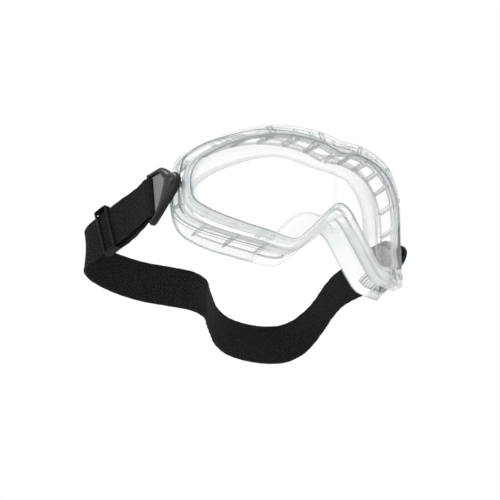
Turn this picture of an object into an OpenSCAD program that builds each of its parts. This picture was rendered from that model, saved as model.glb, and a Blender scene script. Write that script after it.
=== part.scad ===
// Protective goggles with a wrap-round clear lens, vented clear body, soft face seal,
// swivelling strap clips and an elastic head strap with a sliding adjuster.
// Frame: +X to the right seen from the front, +Y towards the face, +Z up.
// The origin is the middle of the face seal, where the wearer's face holds the goggles.

/* [Front] */
// Distance from the front of the frame to the face seal, at the middle
body_depth = 26; // [22:1:30]
// Second-order curl of the front, per metre
curl_2 = 4.7; // [3:0.1:5.5]
// Fourth-order curl of the front, per cubic metre / 1000
curl_4 = 0.23; // [0:0.01:0.3]
// Thickness of the front plate of the frame
plate_t = 2.4; // [2:0.1:3]
// Depth of the outer rim of the frame
rim_depth = 9; // [8:0.5:10]
// Thickness of the lens
lens_t = 2.2; // [1.8:0.1:2.6]

/* [Body] */
// Depth at which the vented wall ends and the face flange starts
wall_end = 20; // [18:0.5:21]
// Width of a top vent window, along X
vent_w = 9.5; // [7:0.5:10]
// Length of a vent window, along Y
vent_l = 9; // [6:0.5:10]
// Slant of the vent windows in degrees
vent_slant = 24; // [10:1:30]

/* [Strap clips] */
// Depth of the pivot axis behind the front of the frame
pivot_depth = 46.5; // [46:0.5:47]
// Radius of the pivot pin
pin_r = 2.5; // [2:0.1:2.8]
// Radial running clearance round the pin
pin_gap = 0.05; // [0.02:0.01:0.08]
// Droop of the clips at rest in degrees
clip_droop = 7; // [0:1:10]
// Thickness of a clip
clip_t = 3.2; // [2.8:0.1:3.4]

/* [Strap] */
// Width of the elastic
strap_w = 25; // [20:0.5:25]
// Thickness of the elastic
strap_t = 1.6; // [1.2:0.1:1.6]
// Length of the slider's bars
slider_h = 31; // [30:0.5:34]

/* [Hidden] */

// Outer edge of the frame and edge of the lens window, top middle to nose arch, as X and Z
outer_pts = [[0, 37], [14, 38.5], [30, 38.5], [46, 37], [60, 32.5], [73, 26], [80.6, 19],
             [82.8, 9], [83, -3], [82, -15], [76, -24], [64, -31], [50, -35.5], [37, -38.5],
             [29, -37], [20, -29.5], [12, -21], [5, -13.5], [0, -11]];
window_pts = [[0, 29], [12, 31.5], [27, 32.5], [42, 31.5], [55, 28], [67, 21.5], [75, 15],
              [78, 7], [78, -2], [76, -9.5], [68, -17], [56, -23.5], [44, -27.5], [34, -30.5],
              [28, -29], [19.5, -20.5], [12, -12], [5.5, -4.8], [0, -2.5]];
// Outer edge of the face seal's flange, matched point for point
flange_pts = [[0, 36], [14, 38], [30, 39], [46, 38.5], [60, 34.5], [69.5, 28], [74.8, 20],
              [77, 9], [77.5, -3], [76.5, -15], [72.5, -25], [62.5, -33], [50, -37.5],
              [38, -40], [29, -39.5], [20, -32.5], [12, -24], [5, -16.5], [0, -14]];
// Edge of the opening in the face seal, matched point for point
opening_pts = [[0, 29], [12, 29.5], [24, 29], [36, 26.5], [47, 22], [56, 17], [62, 11],
               [65, 4], [65, -3], [63, -9], [56, -16], [48, -20.5], [41, -23.5], [35, -24.5],
               [31, -22.5], [25, -16], [18, -8.5], [9, -2], [0, 0]];
steps = 2;
half_n = (len(outer_pts) - 1) * steps;
ring_n = 2 * half_n;

// Point between control points k and k+1 of a half outline, smooth across the middle plane
function clamp_i(pts, k) =
    k < 0 ? [-pts[-k][0], pts[-k][1]] :
    k >= len(pts) ? let (m = 2 * (len(pts) - 1) - k) [-pts[m][0], pts[m][1]] : pts[k];
function spline(p0, p1, p2, p3, t) =
    0.5 * (2 * p1 + (p2 - p0) * t + (2 * p0 - 5 * p1 + 4 * p2 - p3) * t * t
           + (3 * p1 - p0 - 3 * p2 + p3) * t * t * t);
function half_at(pts, i) =
    let (k = floor(i / steps), t = i / steps - k)
    spline(clamp_i(pts, k - 1), clamp_i(pts, k), clamp_i(pts, k + 1), clamp_i(pts, k + 2), t);
function outline_at(pts, i) =
    i <= half_n ? half_at(pts, i) :
    let (q = half_at(pts, ring_n - i)) [-q[0], q[1]];
// s = 0 is the window edge and s = 1 the outer edge of the frame
function between_at(s, i) =
    outline_at(window_pts, i) * (1 - s) + outline_at(outer_pts, i) * s;
function plan(x) = curl_2 * x * x / 1000 + curl_4 * pow(x / 1000, 4) * 1e6;
function ring_pt(s, d, i) =
    let (q = between_at(s, i)) [q[0], plan(q[0]) + d - body_depth, q[1]];

// t = 0 is the flange's outer edge and t = 1 the edge of the opening in the face seal
function flange_pt(t, d, i) =
    let (q = outline_at(flange_pts, i) * (1 - t) + outline_at(opening_pts, i) * t)
    [q[0], plan(q[0]) + d - body_depth, q[1]];

// Closed ring: one cross-section of m points at each of n stations
module ring_solid(sections) {
    n = len(sections);
    m = len(sections[0]);
    polyhedron(
        points = [for (sec = sections) for (p = sec) p],
        faces = [for (i = [0:n - 1]) for (j = [0:m - 1])
            let (a = i * m, b = ((i + 1) % n) * m, k = (j + 1) % m)
            each [[a + j, b + j, b + k], [a + j, b + k, a + k]]],
        convexity = 8);
}

// Open strip: rectangular sections along a path, closed at both ends
module strip_solid(sections) {
    n = len(sections);
    m = len(sections[0]);
    polyhedron(
        points = [for (sec = sections) for (p = sec) p],
        faces = concat(
            [[for (j = [m - 1:-1:0]) j], [for (j = [0:m - 1]) (n - 1) * m + j]],
            [for (i = [0:n - 2]) for (j = [0:m - 1])
                let (a = i * m, b = (i + 1) * m, k = (j + 1) % m)
                each [[a + j, a + k, b + k], [a + j, b + k, b + j]]]),
        convexity = 8);
}

// Ring whose cross-section is a list of [s, depth] pairs
module frame_ring(profile) {
    ring_solid([for (i = [0:ring_n - 1]) [for (q = profile) ring_pt(q[0], q[1], i)]]);
}

plan_step = 5;
plan_half = 95;
// Slab between two depths behind the curved front
module slab(d1, d2) {
    xs = [for (x = [-plan_half:plan_step:plan_half]) x];
    translate([0, -body_depth, -60])
        linear_extrude(height = 120)
            polygon(concat([for (x = xs) [x, plan(x) + d1]],
                           [for (k = [len(xs) - 1:-1:0]) [xs[k], plan(xs[k]) + d2]]));
}
// Straight prism along Y inside the outline at s
module outline_prism(s) {
    translate([0, 80, 0])
        rotate([90, 0, 0])
            linear_extrude(height = 160)
                polygon([for (i = [0:ring_n - 1]) between_at(s, i)]);
}

// ---- Clear front ----
lug_x = 80.5;
lug_end = 83.2;
lug_r = 4.4;
rim_s = 0.78;
gasket_s = 0.12;
lens_s = 0.42;
gasket_t = 0.6;
gasket_gap = 0.15;
// Room for the facets where two curved faces meet
facet_gap = 0.3;
module front_frame() {
    color("azure", 0.5)
    difference() {
        union() {
            frame_ring([[1, 1], [0.9, 0], [0.1, 0], [0, 1], [0, plate_t],
                        [gasket_s, plate_t], [lens_s, plate_t], [rim_s, plate_t],
                        [rim_s, rim_depth], [1, rim_depth]]);
            for (side = [-1, 1]) pin_axis(side, lug_x, lug_end, lug_r);
        }
        for (side = [-1, 1]) pin_axis(side, lug_x, lug_end + 1, pin_r);
    }
}

// Stations of the tabs that hold the frame on the body, and their length
tab_stations = [2, 6, 9];
tab_l = 2.4;
module bezel_snap_tabs() {
    color("aliceblue", 0.6)
    for (k = tab_stations) {
        snap_tab(k);
        snap_tab(ring_n - k - 1);
    }
}
module snap_tab(k) {
    d1 = rim_depth + 0.05;
    d2 = rim_depth + tab_l;
    strip_solid([for (i = [k, k + 1])
        [ring_pt(0.83, d1, i), ring_pt(0.83, d2, i), ring_pt(0.97, d2, i),
         ring_pt(0.97, d1, i)]]);
}

lens_d = plate_t + gasket_t + facet_gap;
module lens() {
    color("white", 0.25)
    intersection() {
        slab(lens_d, lens_d + lens_t);
        outline_prism(lens_s);
    }
}

module lens_gasket() {
    color("lightgray", 0.6)
    frame_ring([[gasket_s, plate_t + gasket_gap], [gasket_s, plate_t + gasket_t],
                [lens_s, plate_t + gasket_t], [lens_s, plate_t + gasket_gap]]);
}

// ---- Vented body ----
collar_d = lens_d + lens_t + facet_gap;
flange_t = 1.6;
// Share of the flange that the wall's rear end covers
wall_rear = 0.14;
// Room in the wall round a lug of the frame
lug_gap = 0.25;
collar_s = 0.05;
collar_t = 1.5;
wall_out = 0.74;
// Depth to which the wall runs straight, behind the snap tabs, before it flares
wall_step = rim_depth + tab_l + 0.2;
wall_in = 0.46;
vent_xs = [7.5, 20.5, 34, 47.5, 60.5, 72];
side_vent_zs = [10, -2.5];
low_vent_xs = [66, 50, 35.5];
module vent_body() {
    color("azure", 0.5)
    difference() {
        ring_solid([for (i = [0:ring_n - 1])
            [ring_pt(collar_s, collar_d, i), ring_pt(collar_s, collar_d + collar_t, i),
             ring_pt(wall_in, collar_d + collar_t, i),
             flange_pt(wall_rear, wall_end + flange_t, i), flange_pt(0, wall_end + flange_t, i),
             flange_pt(0, wall_end, i), ring_pt(wall_out, wall_step, i),
             ring_pt(wall_out, collar_d, i)]]);
        for (side = [-1, 1]) {
            for (x = vent_xs) vent_cut(side, x, 18, vent_w);
            for (x = low_vent_xs) vent_cut(side, x, -44, 11);
            for (z = side_vent_zs) side_vent_cut(side, z);
            pin_axis(side, lug_x - 0.2, lug_end + 2, lug_r + lug_gap);
        }
    }
}
vent_mid = 14.8;
module vent_cut(side, x, z, w) {
    slope = atan(2 * curl_2 * x / 1000);
    translate([side * x, plan(x) - body_depth + vent_mid, z])
        rotate([0, 0, side * (slope - (z > 0 ? vent_slant : -vent_slant))])
            translate([-w * cos(slope) / 2, -vent_l * 0.4, 0])
                cube([w * cos(slope), vent_l * 0.8, 26]);
}

side_vent_y = 30;
module side_vent_cut(side, z) {
    translate([side * 84 - 8, side_vent_y, z])
        rotate([-vent_slant, 0, 0])
            translate([0, -vent_l * 0.35, -3.6])
                cube([16, vent_l * 0.7, 7.2]);
}

// Depth of the face seal's inner edge, which follows the face
function face_plan(x) = 0.5 * x * x / 1000 + 1.45 * pow(x / 1000, 4) * 1e6;
seal_t = 1.8;
seal_d = wall_end + flange_t + facet_gap;
module face_seal() {
    color("whitesmoke", 0.6)
    ring_solid([for (i = [0:ring_n - 1])
        let (o = outline_at(flange_pts, i), q = outline_at(opening_pts, i),
             m = between_at(wall_in, i) * 0.6 + q * 0.4,
             yo = plan(o[0]) + seal_d - body_depth,
             ym = plan(m[0]) + seal_d - body_depth,
             yi = max(face_plan(q[0]), ym + 1))
        [[o[0], yo, o[1]], [m[0], ym, m[1]], [q[0], yi, q[1]],
         [q[0], yi + seal_t, q[1]], [o[0], yo + seal_t, o[1]]]]);
}

// Share of the wall's depth that a louvre strip covers
baffle_reach = 0.8;
// Point on a line from the collar to the flange, level u along it, just inside the wall
function inside_pt(s, t, u, i) =
    ring_pt(s, collar_d + 2, i) * (1 - u) + flange_pt(t, wall_end + flange_t, i) * u;
// Louvre strip just inside the vented wall, from station i0 to station i1
module baffle(i0, i1) {
    strip_solid([for (i = [i0:i1])
        [inside_pt(wall_in - 0.07, wall_rear + 0.07, 0, i),
         inside_pt(wall_in - 0.07, wall_rear + 0.07, baffle_reach, i),
         inside_pt(wall_in - 0.18, wall_rear + 0.16, baffle_reach, i),
         inside_pt(wall_in - 0.18, wall_rear + 0.16, 0, i)]]);
}
top_last = 11;
module top_vent_baffle() {
    color("gainsboro", 0.5) {
        baffle(0, top_last);
        baffle(ring_n - top_last, ring_n);
    }
}
low_first = 20;
low_last = 26;
module right_vent_baffle() {
    color("gainsboro", 0.5) baffle(low_first, low_last);
}
module left_vent_baffle() {
    color("gainsboro", 0.5) baffle(ring_n - low_last, ring_n - low_first);
}

// ---- Strap clips ----
pivot_y = pivot_depth - body_depth;
pivot_z = 2.5;
clip_x = 83.6;
boss_r = 6;
module pin_axis(side, x1, x2, r) {
    translate([side * x1, pivot_y, pivot_z])
        rotate([0, side * 90, 0])
            cylinder(h = x2 - x1, r = r, $fn = 48);
}
head_x = clip_x + clip_t + 0.2;
module pivot_pin(side) {
    color("dimgray") {
        pin_axis(side, lug_x, head_x + 0.6, pin_r);
        pin_axis(side, head_x, head_x + 1.2, pin_r + 1.2);
        pin_axis(side, lug_end, clip_x - 0.1, pin_r + 0.9);
    }
}
module left_pivot_pin() pivot_pin(-1);
module right_pivot_pin() pivot_pin(1);

// A flat shape drawn as Y behind the pivot and Z above it, at the clip's droop
module clip_sheet(side, x, t) {
    translate([side > 0 ? x : -x - t, pivot_y, pivot_z])
        rotate([-clip_droop, 0, 0])
            rotate([90, 0, 90])
                linear_extrude(height = t)
                    children();
}
slot_y1 = 16.5;
slot_y2 = 21;
bar_end = 23.5;
slot_up = 13;
bar_in = 1.1;
module clip(side) {
    color([0.06, 0.06, 0.065])
    difference() {
        union() {
            pin_axis(side, clip_x, clip_x + clip_t, boss_r);
            clip_sheet(side, clip_x, clip_t)
                polygon([[-1.5, 5.8], [9, 14.4], [20, slot_up + 2.6], [bar_end, slot_up + 2],
                         [bar_end, -slot_up - 1], [20.5, -slot_up - 4.4],
                         [15, -slot_up - 1.5], [-4, -4.4]]);
        }
        pin_axis(side, clip_x - 1, clip_x + clip_t + 1, pin_r + pin_gap);
        clip_sheet(side, clip_x - 1, clip_t + 2)
            polygon([[6.3, 6], [11, slot_up - 0.6], [slot_y2, slot_up], [slot_y2, -slot_up],
                     [15.5, -slot_up], [11, -9.5], [6.3, -2.5]]);
        clip_sheet(side, clip_x - 1, 1 + bar_in) rear_bar_room();
        clip_sheet(side, clip_x + clip_t - bar_in, 1 + bar_in) rear_bar_room();
    }
}
// The rear bar is thinner than the arms, so that the elastic wraps round it
module rear_bar_room()
    translate([slot_y2 - 0.5, -slot_up])
        square([bar_end, 2 * slot_up - 0.2]);
module left_clip() clip(-1);
module right_clip() clip(1);

// Grey plate that fills the clip between its arms, in front of the strap slot
module clip_plate(side) {
    color("dimgray")
    clip_sheet(side, clip_x + 0.6, 1.6)
        polygon([[6.3, 6], [11, slot_up - 0.6], [slot_y1, slot_up - 0.25],
                 [slot_y1, -slot_up], [15.5, -slot_up], [11, -9.5], [6.3, -2.5]]);
}
module left_clip_plate() clip_plate(-1);
module right_clip_plate() clip_plate(1);

// ---- Strap ----
// Middle line of the elastic: round the left clip's rear bar, through the slider, behind
// the head and round the right clip's rear bar
run_mid = [-86.2, 59.5, -2.2];
run_end = [-92.3, 88.5, -11.8];
slider_reach = 20;
strap_pts = [[-83.8, 39.8, 0.1], [-86.1, 39.9, 0.1], [-87.6, 43.5, -0.3], [-86.7, 50.5, -1.2],
             run_mid, run_mid * 0.6 + run_end * 0.4, run_end,
             [-91.7, 96.5, -15], [-86, 101, -17.5], [-76.5, 102.5, -19.7],
             [-64.5, 101.5, -22], [-51, 97, -24.5], [-37.5, 89, -26.7], [-25, 83.5, -28.3],
             [-13, 87, -29], [-4, 96, -29.5], [6, 106, -30], [17, 116, -31],
             [30, 123, -32], [43, 126, -32], [57, 127, -31], [69, 127, -29],
             [79, 126, -26], [85.5, 120, -22], [88.2, 111, -17], [88.2, 101, -12],
             [87.2, 91, -6.5], [86.6, 81, -2.2], [86.4, 70, -0.4], [86.4, 58.5, 0],
             [86.8, 50, 0], [87.6, 43.5, -0.2], [86.1, 39.9, 0.1], [83.8, 39.8, 0.1]];
path_steps = 3;
function path_at(pts, i) =
    let (last = len(pts) - 1, k = min(floor(i / path_steps), last - 1), t = i / path_steps - k)
    spline(pts[max(k - 1, 0)], pts[k], pts[k + 1], pts[min(k + 2, last)], t);
function unit(v) = v / norm(v);
// Upright direction at a point: the clips' droop next to them, plain upright elsewhere
function lean(p) = clip_droop * min(max((50 - p[1]) / 8, 0), 1);
function upright(p) = [0, sin(lean(p)), cos(lean(p))];
// Section across the elastic, with its width as near upright as the path lets it be
function strap_section(p, t, w, th) =
    let (v = upright(p), up = unit(v - (v * t) * t), out = cross(t, up))
    [p + up * w / 2 + out * th / 2, p + up * w / 2 - out * th / 2,
     p - up * w / 2 - out * th / 2, p - up * w / 2 + out * th / 2];
module band(pts, w, th) {
    n = (len(pts) - 1) * path_steps;
    line = [for (i = [0:n]) path_at(pts, i)];
    strip_solid([for (i = [0:n])
        strap_section(line[i], unit(line[min(i + 1, n)] - line[max(i - 1, 0)]), w, th)]);
}
band_dir = unit(run_end - run_mid);
slider_at = run_mid + band_dir * slider_reach;

module head_strap() {
    color([0.11, 0.11, 0.12]) band(strap_pts, strap_w, strap_t);
}
// Layer that doubles back inside the run, from the clip towards the slider
module left_strap_return() {
    color([0.11, 0.11, 0.12])
    band([[-84.3, 45.4, -0.6], [-84.2, 49.5, -1.4], [-84.3, 56.5, -3], [-84.8, 63.5, -5]],
         strap_w, strap_t);
}
// End of the elastic folded back at the right clip and sewn down
module right_strap_end() {
    color([0.11, 0.11, 0.12])
    band([[84.4, 45.4, 0], [84.3, 49.5, 0], [84.4, 56.5, 0.1], [84.4, 66.5, 0.1]],
         strap_w, strap_t);
}
stitch_t = 0.9;
stitch_x = 82.6;
stitch_y = 55.5;
stitch_pitch = 4;
module right_strap_stitching() {
    color([0.16, 0.16, 0.17])
    for (k = [0:2])
        translate([stitch_x, stitch_y + stitch_pitch * k, -9.5])
            cube([stitch_t, 0.8, 20]);
}

bar_r = 1.1;
cap_t = 1.6;
// Places a child at the slider, its X across the strap, Y along it and Z up its width
module at_slider() {
    yaw = atan2(-band_dir[0], band_dir[1]);
    pitch = asin(band_dir[2]);
    translate(slider_at)
        rotate([0, 0, yaw])
            rotate([pitch, 0, 0])
                children();
}
bar_pitch = 4.4;
bar_out = strap_t / 2 + bar_r + 0.25;
module slider_bar(x, y) {
    translate([x, y, -slider_h / 2])
        cylinder(h = slider_h, r = bar_r, $fn = 32);
}
module slider() {
    color([0.1, 0.1, 0.105])
    at_slider() {
        slider_bar(-bar_out, -bar_pitch);
        slider_bar(bar_out, 0);
        slider_bar(-bar_out, bar_pitch);
        for (z = [-slider_h / 2, slider_h / 2 - cap_t])
            translate([-bar_out - bar_r, -bar_pitch - bar_r, z])
                cube([2 * bar_out + 2 * bar_r, 2 * bar_pitch + 2 * bar_r, cap_t]);
    }
}
// Sewn end of the elastic, wrapped round the middle bar
fold_gap = 0.02;
fold_wall = 1.1;
fold_tail = 8;
// Room between the fold and the strap that runs past it
fold_clear = 1.05;
module slider_fold() {
    color([0.11, 0.11, 0.12])
    at_slider()
        difference() {
            translate([bar_out, 0, -strap_w / 2])
                linear_extrude(height = strap_w)
                    union() {
                        circle(r = bar_r + fold_wall, $fn = 32);
                        translate([0.2, -fold_tail]) square([strap_t, fold_tail]);
                    }
            translate([bar_out, 0, -strap_w])
                cylinder(h = 2 * strap_w, r = bar_r + fold_gap, $fn = 32);
            translate([fold_clear - 3, -fold_tail - 2, -strap_w])
                cube([3, 2 * fold_tail + 4, 2 * strap_w]);
        }
}
module slider_stitching() {
    color([0.16, 0.16, 0.17])
    at_slider()
        for (z = [-9:3:9])
            translate([bar_out + 0.2 + strap_t, -6.4, z - 0.5])
                cube([0.5, 2.6, 1]);
}

front_frame();
bezel_snap_tabs();
lens();
lens_gasket();
vent_body();
face_seal();
top_vent_baffle();
left_vent_baffle();
right_vent_baffle();
left_pivot_pin();
right_pivot_pin();
left_clip();
right_clip();
left_clip_plate();
right_clip_plate();
head_strap();
left_strap_return();
right_strap_end();
right_strap_stitching();
slider();
slider_fold();
slider_stitching();
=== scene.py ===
import math

import bpy
import numpy as np
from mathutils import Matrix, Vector


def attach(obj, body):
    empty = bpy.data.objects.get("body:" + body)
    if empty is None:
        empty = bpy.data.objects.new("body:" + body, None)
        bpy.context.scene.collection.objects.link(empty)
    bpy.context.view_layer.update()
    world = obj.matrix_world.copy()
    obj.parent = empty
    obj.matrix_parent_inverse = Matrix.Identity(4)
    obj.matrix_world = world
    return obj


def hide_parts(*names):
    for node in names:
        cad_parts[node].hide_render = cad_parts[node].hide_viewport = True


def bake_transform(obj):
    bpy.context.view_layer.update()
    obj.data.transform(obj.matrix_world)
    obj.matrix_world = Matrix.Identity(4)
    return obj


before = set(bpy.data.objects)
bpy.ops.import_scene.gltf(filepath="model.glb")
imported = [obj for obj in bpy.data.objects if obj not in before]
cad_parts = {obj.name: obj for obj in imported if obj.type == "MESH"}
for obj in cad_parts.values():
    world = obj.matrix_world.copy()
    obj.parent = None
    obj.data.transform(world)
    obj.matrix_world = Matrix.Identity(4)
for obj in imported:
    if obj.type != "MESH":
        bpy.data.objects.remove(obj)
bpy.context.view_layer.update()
mm = 0.001
goggles, strapBody, sliderBody = "goggles", "clips_and_strap", "slider_body"

# camera, placed first
camera = {
    "place": (-0.6107, -0.7218, -0.4231),
    "azimuth": -38.0,  # degrees round the object, 0 looks straight at the lens
    "elevation": -22.95,  # below the horizon, looking up
    "focal": 129.6,
    "sensor": 36.0,
}


def aimCamera(s):
    # the camera looks back along (sin a cos e, -cos a cos e, sin e), upright
    a, e = math.radians(s["azimuth"]), math.radians(s["elevation"])
    back = Vector((math.sin(a) * math.cos(e), -math.cos(a) * math.cos(e), math.sin(e)))
    data = bpy.data.cameras.new("studioCamera")
    data.lens, data.sensor_width = s["focal"], s["sensor"]
    data.clip_start, data.clip_end = 0.02, 60
    cam = bpy.data.objects.new("studioCamera", data)
    bpy.context.scene.collection.objects.link(cam)
    cam.location = s["place"]
    cam.rotation_mode = "QUATERNION"
    cam.rotation_quaternion = (-back).to_track_quat("-Z", "Y")
    bpy.context.scene.camera = cam


aimCamera(camera)
print("camera placed")


# shader maths
class Wire:
    # one socket, so that sums and products of sockets read as plain maths
    def __init__(self, finish, socket):
        self.finish, self.socket = finish, socket

    def work(self, operation, first, second):
        # first and second joined by one Math node
        return self.finish.put("ShaderNodeMath", {"operation": operation}, {0: first, 1: second})

    def __add__(self, other):
        return self.work("ADD", self, other)

    def __sub__(self, other):
        return self.work("SUBTRACT", self, other)

    def __rsub__(self, other):
        return self.work("SUBTRACT", other, self)

    def __mul__(self, other):
        return self.work("MULTIPLY", self, other)

    def __pow__(self, other):
        return self.work("POWER", self, other)

    def __gt__(self, other):
        return self.work("GREATER_THAN", self, other)

    def sine(self):
        return self.work("SINE", self, 0.0)

    def absolute(self):
        return self.work("ABSOLUTE", self, 0.0)

    def clamped(self):
        return self.finish.put("ShaderNodeClamp", {}, {"Value": self})

    __radd__, __rmul__ = __add__, __mul__


class Finish:
    # one material, or the world, whose nodes are put down one by one
    def __init__(self, name, world=None):
        self.material = world or bpy.data.materials.new(name)
        self.material.use_nodes = True
        self.tree = self.material.node_tree
        self.tree.nodes.clear()

    def put(self, kind, settings=None, sockets=None, out=0):
        # a node of that kind: its settings first, then the values or links of its sockets
        node = self.tree.nodes.new(kind)
        for key, value in (settings or {}).items():
            if key == "stops":
                ramp = node.color_ramp.elements
                while len(ramp) < len(value):
                    ramp.new(0.5)
                for stop, (place, colour) in zip(ramp, value):
                    stop.position, stop.color = place, (*colour, 1)
            else:
                setattr(node, key, value)
        for key, value in (sockets or {}).items():
            if isinstance(value, Wire):
                self.tree.links.new(value.socket, node.inputs[key])
            else:
                node.inputs[key].default_value = value
        return Wire(self, node.outputs[out]) if len(node.outputs) else None

    def surface(self, shader, kind="ShaderNodeOutputMaterial"):
        self.put(kind, {}, {"Surface": shader})
        return self.material

    def place(self):
        return self.put("ShaderNodeTexCoord", {}, {}, "Object")

    def noise(self, scale, detail=3.0, rough=0.5, at=None):
        # a soft random value from 0 to 1, scale waves a metre
        return self.put(
            "ShaderNodeTexNoise",
            {},
            {"Vector": at or self.place(), "Scale": scale, "Detail": detail, "Roughness": rough},
        )

    def bump(self, height, strength, distance):
        # the surface leans as if height 1 stood distance metres proud
        return self.put(
            "ShaderNodeBump", {}, {"Height": height, "Strength": strength, "Distance": distance}
        )

    def blendColour(self, share, first, second):
        # first (1 - share) + second share
        node = {"data_type": "RGBA"}
        return self.put("ShaderNodeMix", node, {0: share, 6: (*first, 1), 7: (*second, 1)}, 2)


# finishes
def clearMoulding(name, s):
    # facing = 1 - |cosine of the angle to the surface|; a share haze of the light meets milky
    # plastic, edge * facing^edgePower + line * edgeShade meets the darker edge tone, and
    # 0.04 + mirror * facing^5 is mirrored; edgeShade and frost are painted on the mesh
    f = Finish(name)
    shade = f.put("ShaderNodeAttribute", {"attribute_name": "edgeShade"}, {}, "Fac")
    frost = f.put("ShaderNodeAttribute", {"attribute_name": "frost"}, {}, "Fac")
    facing = f.put("ShaderNodeLayerWeight", {}, {"Blend": 0.5}, "Facing")
    ripple = f.noise(s["rippleScale"], 2.0)
    grain = f.noise(s["grainScale"], 4.0, 0.7)
    normal = f.bump(ripple + grain * 0.25, s["bump"], 0.0004)
    tone = f.blendColour(ripple, s["edgeDark"], s["edgeLight"])
    rough = grain * 0.2 + s["roughness"]
    edge = f.put(
        "ShaderNodeBsdfPrincipled", {}, {"Base Color": tone, "Roughness": rough, "Normal": normal}
    )
    milky = f.blendColour(ripple, s["milk"], (0.9, 0.92, 0.93))
    milk = f.put(
        "ShaderNodeBsdfPrincipled", {}, {"Base Color": milky, "Roughness": rough, "Normal": normal}
    )
    clear = f.put("ShaderNodeBsdfTransparent", {}, {"Color": (*s["through"], 1)})
    gloss = f.put(
        "ShaderNodeBsdfPrincipled",
        {},
        {
            "Base Color": (1, 1, 1, 1),
            "Metallic": 1.0,
            "Roughness": grain * 0.06 + s["roughness"],
            "Normal": normal,
        },
    )
    hazy = (grain * 0.3 * s["haze"] + s["haze"] * 0.85 + frost).clamped()
    stopped = (facing ** s["edgePower"] * s["edge"] + shade * s["line"]).clamped()
    mirrored = (facing**5.0 * s["mirror"] + 0.04).clamped()
    inner = f.put("ShaderNodeMixShader", {}, {0: hazy, 1: clear, 2: milk})
    middle = f.put("ShaderNodeMixShader", {}, {0: stopped, 1: inner, 2: edge})
    return f.surface(f.put("ShaderNodeMixShader", {}, {0: mirrored, 1: middle, 2: gloss}))


def elasticWeave(name, s):
    # across the width the ribs are |sin(v * ribs)|, along the length the picks are |sin(u * picks)|
    # moved half a pick from one rib to the next; the colour is lighter where ribs and picks cross,
    # a painted highlight on the weave's tops, and a fine speckle of lighter rubber shows between
    f = Finish(name)
    uv = f.put("ShaderNodeUVMap", {"uv_map": "clothMap"})
    split = f.put("ShaderNodeSeparateXYZ", {}, {0: uv})
    u = Wire(f, split.socket.node.outputs[0])
    v = Wire(f, split.socket.node.outputs[1])
    ribs = (v * (math.pi / s["ribPitch"])).sine().absolute()
    picks = (u * (math.pi / s["pickPitch"]) + ribs * 1.6).sine().absolute()
    fuzz = f.noise(s["fuzzScale"], 5.0, 0.75)
    speckle = f.noise(s["speckleScale"], 2.0, 0.5, uv)
    height = ribs * 0.5 + picks * 0.6 + fuzz * 0.5
    # the lighter share: a painted highlight where rib and pick tops cross, a random fuzz tone and
    # specks of lighter rubber
    sheenAndSpeckle = (picks * ribs * 0.3 + fuzz * 0.25 + (speckle > 0.57) * 0.8).clamped()
    # the band is also lighter along both edges
    edge = ((v.absolute() - s["edgeAt"]) * 900.0).clamped() * 0.35
    colour = f.blendColour((sheenAndSpeckle + edge).clamped(), s["dark"], s["light"])
    cloth = f.put(
        "ShaderNodeBsdfPrincipled",
        {},
        {
            "Base Color": colour,
            "Roughness": 0.95 - sheenAndSpeckle * 0.15,
            "Normal": f.bump(height, s["bump"], 0.0003),
            "Specular IOR Level": 0.06,
        },
    )
    return f.surface(cloth)


def mouldedBlack(name, s):
    # roughness = roughness + roughSpread * grain, a fine bump comes from grain + 0.4 wear, and the
    # colour lifts a little where wear is over 0.62
    f = Finish(name)
    grain = f.noise(s["grainScale"], 4.0, 0.6)
    wear = f.noise(s["wearScale"], 3.0, 0.6)
    colour = f.blendColour((wear > 0.62) * grain * 0.5, s["dark"], s["worn"])
    body = f.put(
        "ShaderNodeBsdfPrincipled",
        {},
        {
            "Base Color": colour,
            "Roughness": grain * s["roughSpread"] + s["roughness"],
            "Coat Weight": wear * s["coat"],
            "Coat Roughness": 0.08,
            "Specular IOR Level": s["specular"],
            "Normal": f.bump(grain + wear * 0.4, s["bump"], 0.0002),
        },
    )
    return f.surface(body)


clearFrame = clearMoulding(
    "clearFrame",
    {
        "rippleScale": 60.0,
        "grainScale": 900.0,
        "bump": 0.05,
        "edgeDark": (0.07, 0.085, 0.092),
        "edgeLight": (0.26, 0.295, 0.31),
        "milk": (0.84, 0.86, 0.87),
        "roughness": 0.05,
        "through": (0.99, 0.994, 0.995),
        "edge": 0.55,
        "edgePower": 4.5,
        "line": 0.95,
        "haze": 0.03,
        "mirror": 0.5,
    },
)
clearLens = clearMoulding(
    "clearLens",
    {
        "rippleScale": 9.0,
        "grainScale": 2500.0,
        "bump": 0.01,
        "edgeDark": (0.4, 0.45, 0.47),
        "edgeLight": (0.7, 0.75, 0.77),
        "milk": (0.9, 0.92, 0.93),
        "roughness": 0.015,
        "through": (0.997, 0.998, 0.999),
        "edge": 0.4,
        "edgePower": 5.0,
        "line": 0.4,
        "haze": 0.003,
        "mirror": 0.4,
    },
)
clearBody = clearMoulding(
    "clearBody",
    {
        "rippleScale": 45.0,
        "grainScale": 1400.0,
        "bump": 0.15,
        "edgeDark": (0.12, 0.14, 0.15),
        "edgeLight": (0.34, 0.38, 0.395),
        "milk": (0.86, 0.88, 0.885),
        "roughness": 0.1,
        "through": (0.985, 0.99, 0.992),
        "edge": 0.5,
        "edgePower": 4.5,
        "line": 0.52,
        "haze": 0.04,
        "mirror": 0.35,
    },
)
clearSoft = clearMoulding(
    "clearSoft",
    {
        "rippleScale": 30.0,
        "grainScale": 1800.0,
        "bump": 0.25,
        "edgeDark": (0.34, 0.375, 0.39),
        "edgeLight": (0.62, 0.66, 0.67),
        "milk": (0.86, 0.88, 0.885),
        "roughness": 0.2,
        "through": (0.985, 0.989, 0.99),
        "edge": 0.6,
        "edgePower": 3.6,
        "line": 0.5,
        "haze": 0.07,
        "mirror": 0.25,
    },
)
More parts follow.
